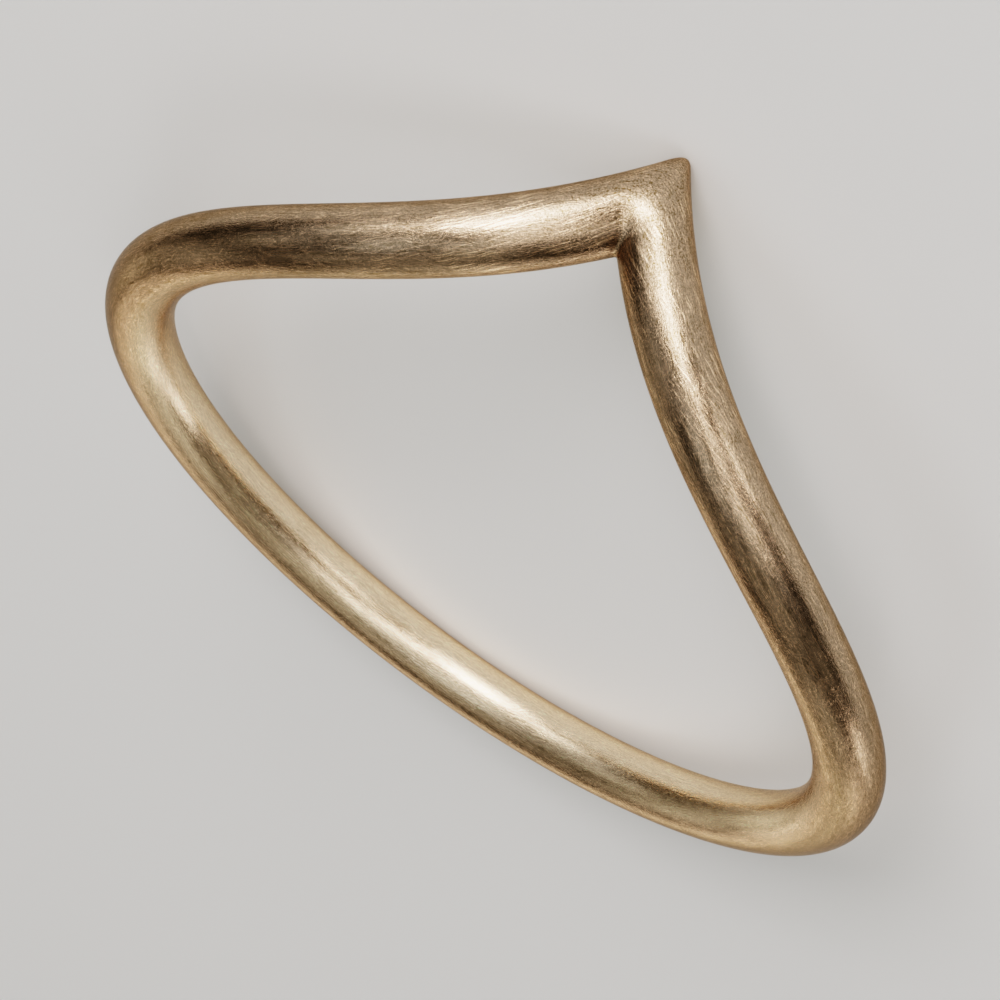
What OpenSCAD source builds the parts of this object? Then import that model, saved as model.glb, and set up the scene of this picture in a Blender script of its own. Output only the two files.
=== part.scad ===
// Chevron ring: a plain finger band of nearly round gold wire. The two arms of
// the front sweep along the finger and meet in a mitred point. The band lies on
// its side, with the point and the middle of its back on the surface below it.
// Millimetres, +Z up, the point towards -Y, the origin in the middle of the
// ring's outline on the surface.

/* [Finger] */
// Inside diameter of the band, the size of the finger it fits
inner_d = 16.5; // [14:0.1:21]

/* [Wire] */
// Thickness of the wire, measured outwards from the finger
wire_w = 1.55; // [1.2:0.05:2.2]
// Thickness of the wire, measured along the finger
wire_h = 1.35; // [1.1:0.05:2]
// How much thicker the wire is at the point than at the back, in percent
point_swell = 12; // [0:1:25]
// Angle round the finger over which that swelling fades out, in degrees
swell_fade = 26; // [12:1:45]

/* [Chevron] */
// How far the middle of the wire is swept along the finger at the point
point_rise = 4.85; // [2:0.05:7]
// Angle round the finger over which the sweep falls to about a third, in degrees
arm_fall = 23; // [18:0.5:30]

/* [Mitre] */
// Half width of the rounding at the very tip, in degrees round the finger
tip_round = 1; // [0.6:0.1:2]
// Extra half width of the softened ridge on the outer face, in degrees
ridge_round = 3; // [0:0.1:4]
// Half width of the tight inner corner of the two arms, in degrees
corner_round = 0.4; // [0.2:0.1:1]

/* [Facets] */
// Sides of the wire's section
wire_sides = 32; // [20:2:36]
// Sections along one arm, from the point to the middle of the back
arm_steps = 64; // [48:2:68]

/* [Hidden] */

band_r = inner_d / 2 + wire_w / 2; // radius of the middle of the wire
semi_out = wire_w / 2;             // half thickness outwards from the finger
semi_along = wire_h / 2;           // half thickness along the finger
mm_per_deg = band_r * PI / 180;    // length of one degree of the band
step_power = 1.47;                 // sections crowd towards the point
ridge_at = 10;                     // angle round the wire where the ridge is softest

// Sweep of the wire along the finger, an angle t away from the point
function sweep(t) = point_rise * exp(-t / arm_fall) * (1 + cos(t)) / 2;

// Slope of that sweep
function slope(t) = -point_rise * exp(-t / arm_fall)
    * ((1 + cos(t)) / 2 / arm_fall + sin(t) * PI / 360) / mm_per_deg;

// A cut through the leaning wire is longer than its own section by this much
function lean(t) = sqrt(1 + pow(slope(t), 2));

// The wire's thickness, an angle t away from the point, over that at the back
function swell(t) = 1 + point_swell / 100 * exp(-pow(t / swell_fade, 2));

// Half width of the rounding across the mitre, at an angle a round the wire:
// 0 outside, 90 on the side of the tip, 180 on the finger, 270 in the corner
function round_w(a) = let (u = max(0, sin(a)), v = max(0, cos(a - ridge_at)))
    corner_round + (tip_round - corner_round) * u * u + ridge_round * v * v * v;

// An angle from the point, rounded off at the mitre over the half width w
function rounded(t, w) = t < w ? (t * t + w * w) / (2 * w) : t;

// A point of the surface, on a ring that stands on its own axis: t degrees
// round the finger from the point (negative on one arm), a degrees round the wire
function skin(t, a) = let (s = rounded(abs(t), round_w(a)),
        r = band_r + semi_out * swell(s) * cos(a))
    [r * sin(t), -r * cos(t),
     sweep(s) + semi_along * swell(s) * lean(s) * sin(a)];

// Angles of the sections, from one side of the back round to the other
arm_angles = [for (i = [0:arm_steps]) 180 * pow(i / arm_steps, step_power)];
section_angles = concat(
    [for (i = [arm_steps - 1:-1:1]) -arm_angles[i]],
    [for (i = [0:arm_steps]) arm_angles[i]]);
wire_angles = [for (j = [0:wire_sides - 1]) j * 360 / wire_sides];

// The ring is turned over and leant back by g degrees, point downwards
function laid(p, g) = [-p[0], p[1] * cos(g) - p[2] * sin(g),
                       -p[1] * sin(g) - p[2] * cos(g)];

// Lowest height of the section at t when the ring is leant by g
function lowest(t, g) = min([for (a = wire_angles) laid(skin(t, a), g)[2]]);

// The lean that brings the point and the back of the band to the same height
function rest_lean(low, high, n) = let (mid = (low + high) / 2)
    n == 0 ? mid
    : lowest(0, mid) < lowest(180, mid) ? rest_lean(mid, high, n - 1)
    : rest_lean(low, mid, n - 1);

lean_angle = rest_lean(0, 40, 40);
raw_points = [for (t = section_angles) for (a = wire_angles)
              laid(skin(t, a), lean_angle)];
y_mid = (min([for (p = raw_points) p[1]]) + max([for (p = raw_points) p[1]])) / 2;
z_low = min([for (p = raw_points) p[2]]);
band_points = [for (p = raw_points) [p[0], p[1] - y_mid, p[2] - z_low]];

// Two triangles for each patch between neighbouring sections and wire angles.
// Each patch is split the same way seen from either arm.
n_s = len(section_angles);
n_w = wire_sides;
function at(i, j) = (i % n_s) * n_w + (j % n_w);
band_faces = [for (i = [0:n_s - 1]) for (j = [0:n_w - 1])
    let (p = at(i, j), q = at(i + 1, j), r = at(i + 1, j + 1), s = at(i, j + 1))
    each (i < arm_steps - 1 || i == n_s - 1 ? [[p, r, q], [p, s, r]] : [[p, s, q], [q, s, r]])];

// The whole ring is one piece of soldered and filed wire
module chevron_band() {
    color([0.80, 0.66, 0.47])
    polyhedron(points = band_points, faces = band_faces, convexity = 6);
}

chevron_band();
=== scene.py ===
"""Looks of the chevron ring: satin gold band, pale floor, soft studio light, camera at the photo's angle."""
import math

import bpy
import numpy as np
from mathutils import Matrix, Vector

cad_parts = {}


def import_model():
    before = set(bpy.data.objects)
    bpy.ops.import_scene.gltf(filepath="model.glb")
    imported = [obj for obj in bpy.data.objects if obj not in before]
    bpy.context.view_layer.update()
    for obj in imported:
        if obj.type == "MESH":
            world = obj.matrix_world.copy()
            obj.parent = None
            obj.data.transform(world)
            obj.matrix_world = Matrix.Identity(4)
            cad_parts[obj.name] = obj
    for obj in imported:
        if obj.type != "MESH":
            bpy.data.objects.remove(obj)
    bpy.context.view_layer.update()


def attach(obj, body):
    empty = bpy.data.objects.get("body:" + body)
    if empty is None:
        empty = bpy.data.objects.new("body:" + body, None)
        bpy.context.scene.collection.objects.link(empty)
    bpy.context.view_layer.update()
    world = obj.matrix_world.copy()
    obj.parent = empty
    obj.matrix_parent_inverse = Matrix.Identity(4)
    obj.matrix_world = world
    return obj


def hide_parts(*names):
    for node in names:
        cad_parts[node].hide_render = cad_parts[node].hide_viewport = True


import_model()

MM = 0.001

# ---------------------------------------------------------------- the band's shape, as in the part's source, in mm
INNER_D, WIRE_W, WIRE_H = 16.5, 1.55, 1.35
POINT_SWELL, SWELL_FADE = 12.0, 26.0
POINT_RISE, ARM_FALL = 4.85, 23.0
TIP_ROUND, CORNER_ROUND = 1.0, 0.4
RIDGE_ROUND, RIDGE_AT = 3.0, 10.0
BAND_R = INNER_D / 2 + WIRE_W / 2
SEMI_OUT, SEMI_ALONG = WIRE_W / 2, WIRE_H / 2
MM_PER_DEG = BAND_R * math.pi / 180


def sweep(t):
    return POINT_RISE * np.exp(-t / ARM_FALL) * (1 + np.cos(np.radians(t))) / 2


def lean(t):
    slope = -POINT_RISE * np.exp(-t / ARM_FALL) * (
        (1 + np.cos(np.radians(t))) / 2 / ARM_FALL + np.sin(np.radians(t)) * math.pi / 360
    ) / MM_PER_DEG
    return np.sqrt(1 + slope ** 2)


def swell(t):
    return 1 + POINT_SWELL / 100 * np.exp(-((t / SWELL_FADE) ** 2))


def skin(t, a):
    """Surface point of the standing ring: t degrees round the finger from the point, a degrees round the wire."""
    t, a = np.broadcast_arrays(np.asarray(t, float), np.asarray(a, float))
    u = np.maximum(0, np.sin(np.radians(a)))
    w = CORNER_ROUND + (TIP_ROUND - CORNER_ROUND) * u ** 2 + RIDGE_ROUND * np.maximum(0, np.cos(np.radians(a - RIDGE_AT))) ** 3
    s = np.abs(t)
    s = np.where(s < w, (s ** 2 + w ** 2) / (2 * w), s)
    r = BAND_R + SEMI_OUT * swell(s) * np.cos(np.radians(a))
    z = sweep(s) + SEMI_ALONG * swell(s) * lean(s) * np.sin(np.radians(a))
    return np.stack([r * np.sin(np.radians(t)), -r * np.cos(np.radians(t)), z], -1)


def laid(p, g):
    """The ring turned over and leant back by g degrees, point downwards."""
    c, s = math.cos(math.radians(g)), math.sin(math.radians(g))
    return np.stack([-p[..., 0], p[..., 1] * c - p[..., 2] * s, -p[..., 1] * s - p[..., 2] * c], -1)


def rest():
    """Lean angle and shift that set the point and the back of the band on the floor."""
    a = np.arange(32) * 360 / 32
    low, high = 0.0, 40.0
    for _ in range(50):
        g = (low + high) / 2
        if laid(skin(0, a), g)[:, 2].min() < laid(skin(180, a), g)[:, 2].min():
            low = g
        else:
            high = g
    steps = 180 * (np.arange(65) / 64) ** 1.47
    p = laid(skin(np.concatenate([-steps, steps])[:, None], a[None]), g)
    return g, np.array([0, -(p[..., 1].min() + p[..., 1].max()) / 2, -p[..., 2].min()])


LEAN, SHIFT = rest()


LAYS = {"lay_straight": 0, "lay_left": 3, "lay_right": -4}  # which way the brushing runs: turns of twist in one round


def make_band(n_arm=460, n_wire=96):
    """The band as one closed mesh of quads, fine enough to need no smoothing modifier."""
    steps = 180 * (np.arange(n_arm + 1) / n_arm) ** 1.35
    t = np.concatenate([-steps[n_arm - 1:0:-1], steps])
    a = np.arange(n_wire) * 360 / n_wire
    p = laid(skin(t[:, None], a[None]), LEAN) + SHIFT
    p[..., 2] -= p[..., 2].min()
    n_s = len(t)
    i, j = np.meshgrid(np.arange(n_s), np.arange(n_wire), indexing="ij")
    i2, j2 = (i + 1) % n_s, (j + 1) % n_wire
    quads = np.stack([i * n_wire + j, i2 * n_wire + j, i2 * n_wire + j2, i * n_wire + j2], -1).reshape(-1, 4)
    me = bpy.data.meshes.new("satin_band")
    me.from_pydata((p.reshape(-1, 3) * MM).tolist(), [], quads.tolist())
    me.polygons.foreach_set("use_smooth", [True] * len(me.polygons))
    # length along the wire, and round it, in mm
    mid = np.stack([BAND_R * np.sin(np.radians(t)), -BAND_R * np.cos(np.radians(t)), sweep(np.abs(t))], -1)
    along = np.concatenate([[0], np.cumsum(np.linalg.norm(np.diff(mid, axis=0), axis=1))])
    along -= along[n_arm - 1]
    end = along[-1] + np.linalg.norm(mid[0] - mid[-1])
    uv = me.uv_layers.new(name="wire")
    u4 = np.stack([along[i], np.where(i2 == 0, end, along[i2]), np.where(i2 == 0, end, along[i2]), along[i]], -1)
    girth = math.pi * (SEMI_OUT + SEMI_ALONG)
    v4 = np.stack([j, j, j + 1, j + 1], -1) / n_wire * girth
    uv.data.foreach_set("uv", np.stack([u4, v4], -1).reshape(-1).astype(np.float32))
    # seamless places on the wire: round the finger, and round the section with that many turns of twist, in mm
    T, A = np.meshgrid(np.radians(t), np.radians(a), indexing="ij")
    for lay, twist in LAYS.items():
        B = A + twist * T
        at = me.attributes.new(lay + "_xyz", "FLOAT_VECTOR", "POINT")
        at.data.foreach_set("vector", np.stack([BAND_R * np.cos(T), BAND_R * np.sin(T), 0.72 * np.cos(B)], -1).reshape(-1).astype(np.float32))
        at = me.attributes.new(lay + "_w", "FLOAT", "POINT")
        at.data.foreach_set("value", (0.72 * np.sin(B)).reshape(-1).astype(np.float32))
    me.update()
    ob = bpy.data.objects.new("satin_band", me)
    bpy.context.scene.collection.objects.link(ob)
    return ob


# ---------------------------------------------------------------- material
class Nodes:
    """Short names for making shader nodes."""

    def __init__(self, mat):
        self.t = mat.node_tree
        self.t.nodes.clear()

    def node(self, kind, inputs=None, **props):
        n = self.t.nodes.new(kind)
        for k, v in props.items():
            setattr(n, k, v)
        for k, v in (inputs or {}).items():
            s = n.inputs[k]
            if isinstance(v, bpy.types.NodeSocket):
                self.t.links.new(v, s)
            else:
                s.default_value = v
        return n

    def math(self, op, a, b=0.0, c=0.0, clamp=False):
        n = self.t.nodes.new("ShaderNodeMath")
        n.operation, n.use_clamp = op, clamp
        for s, v in zip(n.inputs, (a, b, c)):
            if isinstance(v, bpy.types.NodeSocket):
                self.t.links.new(v, s)
            else:
                s.default_value = v
        return n.outputs[0]

    def vmath(self, op, a, b=(0, 0, 0)):
        n = self.t.nodes.new("ShaderNodeVectorMath")
        n.operation = op
        for s, v in zip(n.inputs, (a, b)):
            if isinstance(v, bpy.types.NodeSocket):
                self.t.links.new(v, s)
            else:
                s.default_value = v
        return n.outputs[0]

    def ramp(self, x, stops, interpolation="LINEAR"):
        n = self.t.nodes.new("ShaderNodeValToRGB")
        n.color_ramp.interpolation = interpolation
        e = n.color_ramp.elements
        while len(e) > 1:
            e.remove(e[-1])
        for k, (pos, col) in enumerate(stops):
            s = e[0] if k == 0 else e.new(pos)
            s.position = pos
            s.color = (*col, 1) if len(col) == 3 else col
        self.t.links.new(x, n.inputs[0])
        return n.outputs[0]

    def mix(self, f, a, b, blend="MIX"):
        n = self.t.nodes.new("ShaderNodeMix")
        n.data_type, n.blend_type = "RGBA", blend
        for s, v in zip((n.inputs[0], n.inputs[6], n.inputs[7]), (f, a, b)):
            if isinstance(v, bpy.types.NodeSocket):
                self.t.links.new(v, s)
            else:
                s.default_value = v if isinstance(v, float) else (*v, 1)
        return n.outputs[2]


def satin_gold():
    """Satin gold: brushed along the wire, with loose cross scratches and file strokes over the mitre."""
    m = bpy.data.materials.new("satin_gold")
    m.use_nodes = True
    N = Nodes(m)
    place = N.vmath("MULTIPLY", N.node("ShaderNodeTexCoord").outputs["Object"], (1000, 1000, 1000))

    def noise(size, detail=0.0, rough=0.5, out="Fac"):
        """Plain noise with grains of that size in mm."""
        return N.node("ShaderNodeTexNoise", {"Vector": N.vmath("MULTIPLY", place, (1 / size,) * 3), "Scale": 1.0,
                                             "Detail": detail, "Roughness": rough}).outputs[out]

    def between(x, low, high, smooth=True):
        return N.node("ShaderNodeMapRange", {"Value": x, "From Min": low, "From Max": high},
                      interpolation_type="SMOOTHSTEP" if smooth else "LINEAR").outputs[0]

    waver = N.vmath("SUBTRACT", noise(0.45, out="Color"), (0.5, 0.5, 0.5))
    waver_w = N.node("ShaderNodeSeparateXYZ", {0: waver}).outputs[0]

    def brushed(lay, length, width, detail=2.0, rough=0.55, bend=0.0):
        """Noise drawn out along the wire, without a seam: length and width of one stroke in mm."""
        v = N.vmath("MULTIPLY", N.node("ShaderNodeAttribute", attribute_name=lay + "_xyz").outputs["Vector"],
                    (1 / length, 1 / length, 1 / width))
        w = N.math("MULTIPLY", N.node("ShaderNodeAttribute", attribute_name=lay + "_w").outputs["Fac"], 1 / width)
        if bend:
            v = N.vmath("ADD", v, N.vmath("MULTIPLY", waver, (0, 0, bend / width)))
            w = N.math("ADD", w, N.math("MULTIPLY", waver_w, bend / width))
        return N.node("ShaderNodeTexNoise", {"Vector": v, "W": w, "Scale": 1.0, "Detail": detail, "Roughness": rough},
                      noise_dimensions="4D").outputs["Fac"]

    def strokes(run, length, width, low, high, offset=0.0):
        """Loose scratches that run one way through space: 0 on the bare metal, 1 in a scratch."""
        turn = Vector(run).to_track_quat("X", "Z").to_euler()
        v = N.node("ShaderNodeMapping", {"Vector": wavy, "Rotation": tuple(turn), "Location": (offset, 0, 0),
                                         "Scale": (length, width, width)}, vector_type="TEXTURE")
        n = N.node("ShaderNodeTexNoise", {"Vector": v.outputs[0], "Scale": 1.0, "Detail": 0.0}).outputs["Fac"]
        return between(n, low, high)

    wavy = N.vmath("ADD", place, N.vmath("MULTIPLY", waver, (0.22, 0.22, 0.22)))
    left = brushed("lay_left", 0.22, 0.018, 1.0, 0.65, 0.18)
    right = brushed("lay_right", 0.26, 0.020, 1.0, 0.65, 0.18)
    patch_at = noise(0.8, 0.0)
    patch = between(patch_at, 0.44, 0.56)
    brush = N.node("ShaderNodeMix", {0: patch, 2: left, 3: right}).outputs[0]
    long = brushed("lay_straight", 1.5, 0.022, 1.0, 0.6, 0.1)
    grain = noise(0.026)
    speck = noise(0.040, 1.0, 0.7)
    # length along the wire from the point, in mm, and what is finished by hand there
    uv = N.node("ShaderNodeSeparateXYZ", {0: N.node("ShaderNodeUVMap", uv_map="wire").outputs[0]})
    from_point = N.math("ABSOLUTE", uv.outputs[0])
    near = between(from_point, 2.6, 0.6)
    filed = N.math("MULTIPLY", between(from_point, 7.0, 3.0), between(patch_at, 0.36, 0.50))
    # light file strokes round the point, then cross scratches that run another way in each patch
    where = noise(0.9, 0.0)
    # the file ran on the outside, 13 degrees off the wire: its marks follow the surface, and bend a little
    girth = math.pi * (SEMI_OUT + SEMI_ALONG)
    round_wire = N.math("WRAP", uv.outputs[1], girth / 2, -girth / 2)
    across = N.math("MULTIPLY_ADD", uv.outputs[0], -0.23, N.math("MULTIPLY_ADD", waver_w, 0.09, round_wire))
    along = N.math("MULTIPLY_ADD", round_wire, 0.23, uv.outputs[0])
    marks = N.node("ShaderNodeCombineXYZ", {0: N.math("MULTIPLY", along, 1 / 1.1), 1: N.math("MULTIPLY", across, 1 / 0.034)})
    marks = N.node("ShaderNodeTexNoise", {"Vector": marks.outputs[0], "Scale": 1.0, "Detail": 0.0}, noise_dimensions="2D").outputs["Fac"]
    file = N.math("MULTIPLY", between(marks, 0.64, 0.71), filed)
    cuts = file
    for run, length, width, low, high, offset in [
            ((0.045, 0.562, 0.825), 0.36, 0.030, 0.58, 0.70, 7.3), ((-0.987, 0.155, -0.052), 0.60, 0.030, 0.42, 0.30, 14.6),
            ((0.75, 0.62, 0.20), 0.45, 0.030, 0.52, 0.58, 21.9)]:
        cuts = N.math("MAXIMUM", cuts, N.math("MULTIPLY", strokes(run, length, width, 0.60, 0.70, offset), between(where, low, high)))
    # flat lands between shallow scratch walls: the lands mirror the room, the walls glint
    height = N.math("MULTIPLY", between(brush, 0.45, 0.55), 0.22)
    height = N.math("ADD", height, N.math("MULTIPLY", brush, 0.25))
    height = N.math("ADD", height, N.math("MULTIPLY", between(long, 0.46, 0.54), 0.14))
    height = N.math("ADD", height, N.math("MULTIPLY", grain, 0.35))
    height = N.math("SUBTRACT", height, N.math("MULTIPLY", cuts, 0.26))
    bump = N.node("ShaderNodeBump", {"Height": height, "Strength": 1.0, "Distance": 0.0000036})
    # fine light and dark of the brushing; the grains are stronger round the point, where the file crossed
    shade = N.math("MULTIPLY_ADD", brush, 0.26, 0.50 - 0.13 - 0.18)
    shade = N.math("MULTIPLY_ADD", long, 0.36, shade)
    grains = N.math("MULTIPLY_ADD", near, 0.30, 0.34)
    shade = N.math("MULTIPLY_ADD", N.math("SUBTRACT", speck, 0.5), grains, shade)
    # painted glints: short lighter dashes on the peaks of the brushing, away from the point, painted into the colour
    # to stand for sparkle
    painted_glints = N.math("MULTIPLY", between(brush, 0.58, 0.67), between(from_point, 1.5, 3.5))
    shade = N.math("MULTIPLY_ADD", painted_glints, 0.09, shade)
    shade = N.math("MULTIPLY_ADD", cuts, 0.055, shade)
    shade = N.math("MULTIPLY_ADD", file, 0.13, shade)
    # the finger side is smoother: rubbed down, and never filed; its colour is also painted lighter, as painted light
    # on it
    height_in_wire = N.node("ShaderNodeSeparateXYZ", {0: N.node("ShaderNodeAttribute", attribute_name="lay_straight_xyz").outputs["Vector"]})
    finger_side_smooth_and_lit = between(height_in_wire.outputs[2], -0.10, -0.50)
    # so is the back half of the band, a little, and its colour is painted a little lighter too, as painted light
    back_half_smooth_and_lit = between(from_point, 13.0, 19.0)
    even = N.math("MAXIMUM", N.math("MULTIPLY", finger_side_smooth_and_lit, 0.5), N.math("MULTIPLY", back_half_smooth_and_lit, 0.5))
    shade = N.node("ShaderNodeMix", {0: even, 2: shade, 3: 0.5}).outputs[0]
    tint = N.ramp(shade, [(0.34, (0.162, 0.106, 0.038)), (0.50, (0.374, 0.288, 0.206)), (0.64, (0.68, 0.465, 0.31)),
                          (0.72, (0.98, 0.72, 0.48))])
    # painted light: the finger side's colour is made about 1.8 times lighter, standing in for light falling on it
    tint = N.mix(finger_side_smooth_and_lit, tint, N.mix(1.0, tint, (1.80, 1.84, 1.85), "MULTIPLY"))
    # painted light: the back half's colour is made about a quarter lighter, standing in for light falling on it
    tint = N.mix(back_half_smooth_and_lit, tint, N.mix(1.0, tint, (1.27, 1.27, 1.26), "MULTIPLY"))
    rough = N.math("MULTIPLY_ADD", long, 0.12, 0.20)
    tangent = N.node("ShaderNodeTangent", direction_type="UV_MAP", uv_map="wire").outputs[0]
    bsdf = N.node("ShaderNodeBsdfPrincipled", {"Base Color": tint, "Metallic": 1.0, "Roughness": rough, "Anisotropic": 0.3,
                                               "Anisotropic Rotation": 0.25, "Tangent": tangent, "Normal": bump.outputs[0]})
    bsdf.inputs["Specular Tint"].default_value = (0.48, 0.41, 0.35, 1)
    N.node("ShaderNodeOutputMaterial", {"Surface": bsdf.outputs[0]})
    return m


band = make_band()
band.data.materials.append(satin_gold())
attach(band, "root")
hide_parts("chevron_band")


# ---------------------------------------------------------------- floor
def make_floor():
    m = bpy.data.materials.new("pale_floor")
    m.use_nodes = True
    N = Nodes(m)
    bsdf = N.node("ShaderNodeBsdfPrincipled", {"Base Color": (0.882, 0.927, 0.952, 1), "Roughness": 0.9})
    bsdf.inputs["Specular IOR Level"].default_value = 0.2
    N.node("ShaderNodeOutputMaterial", {"Surface": bsdf.outputs[0]})
    me = bpy.data.meshes.new("floor")
    s = 3.0
    me.from_pydata([(-s, -s, 0), (s, -s, 0), (s, s, 0), (-s, s, 0)], [], [(0, 1, 2, 3)])
    me.materials.append(m)
    ob = bpy.data.objects.new("floor", me)
    bpy.context.scene.collection.objects.link(ob)
    return ob


floor = make_floor()


# ---------------------------------------------------------------- camera: the photo's angle to the ring
def make_camera():
    cam = bpy.data.cameras.new("camera")
    cam.sensor_width, cam.lens = 36.0, 143.96
    cam.clip_start, cam.clip_end = 0.002, 20.0
    ob = bpy.data.objects.new("camera", cam)
    right = Vector((-0.81647, -0.21442, -0.53610)).normalized()
    back = Vector((-0.15610, -0.81194, 0.56248)).normalized()
    up = back.cross(right).normalized()
    right = up.cross(back)
    m = Matrix((right, up, back)).transposed().to_4x4()
    m.translation = Vector((-12.7255, -67.9495, 49.4626)) * MM
    ob.matrix_world = m
    bpy.context.scene.collection.objects.link(ob)
    bpy.context.scene.camera = ob
    return ob


make_camera()


# ---------------------------------------------------------------- light
def softbox(name, azimuth, elevation, distance, size, power, colour=(1, 1, 1), target=(0, -0.004, 0.003)):
    """A soft panel seen from the ring at that azimuth (0 towards -Y, 90 towards +X) and elevation, in degrees."""
    light = bpy.data.lights.new(name, "AREA")
    light.shape = "RECTANGLE"
    light.size, light.size_y = size
    light.energy = power
    light.color = colour
    ob = bpy.data.objects.new(name, light)
    ob.visible_camera = False
    a, e = math.radians(azimuth), math.radians(elevation)
    d = Vector((math.sin(a) * math.cos(e), -math.cos(a) * math.cos(e), math.sin(e)))
    ob.location = Vector(target) + d * distance
    ob.rotation_mode = "QUATERNION"
    ob.rotation_quaternion = d.to_track_quat("Z", "Y")
    bpy.context.scene.collection.objects.link(ob)
    return ob


def world(colour=(1, 1, 1), strength=0.35):
    w = bpy.data.worlds.new("studio")
    bpy.context.scene.world = w
    w.use_nodes = True
    w.node_tree.nodes["Background"].inputs[0].default_value = (*colour, 1)
    w.node_tree.nodes["Background"].inputs[1].default_value = strength


world((1.0, 0.70, 0.22), 0.03)
PANELS = [  # azimuth, elevation, power in W; all 0.13 m wide and 0.4 m away
    (-180, 4, 0.0569), (-167, 4, 0.0517), (-154, 4, 0.0877), (-129, 4, 0.1620), (-39, 4, 0.2429),
    (13, 4, 0.3013), (26, 4, 0.1051), (141, 4, 0.0434), (154, 4, 0.0226), (167, 4, 0.0982), (-180, 17, 0.0081),
    (-152, 17, 0.0098), (14, 17, 0.3770), (28, 17, 0.0690), (48, 20, 0.0400), (125, 17, 0.0119), (-165, 30, 0.0249),
    (-150, 30, 0.0193), (-105, 30, 0.0169), (0, 30, 0.1276), (15, 30, 0.5356), (45, 30, 0.0983), (62, 32, 0.0320),
    (135, 30, 0.0135), (150, 30, 0.0216), (-72, 43, 0.0198), (-54, 43, 0.0637), (-18, 43, 0.1875), (60, 46, 0.0180),
    (90, 43, 0.0135), (108, 43, 0.0202), (-168, 56, 0.0139), (-144, 56, 0.0095), (-120, 56, 0.0158),
    (-48, 56, 0.1042), (24, 56, 0.0197), (96, 56, 0.0078), (168, 56, 0.0196), (-108, 69, 0.0159),
    (-72, 69, 0.0213), (-36, 69, 0.0349), (36, 69, 0.0402), (90, 82, 0.0538),
]
STRONG, BEHIND, FILL = (1.0, 0.90, 0.85), (1.0, 0.96, 0.87), (0.96, 0.985, 1.0)  # warm highlights and back, cool fill
for k, (azimuth, elevation, power) in enumerate(PANELS):
    softbox("panel_%02d" % k, azimuth, elevation, 0.4, (0.13, 0.13), power,
            STRONG if power > 0.06 else BEHIND if abs(azimuth) > 100 else FILL)
bpy.context.scene.view_settings.view_transform = "Filmic"
bpy.context.scene.view_settings.look = "High Contrast"
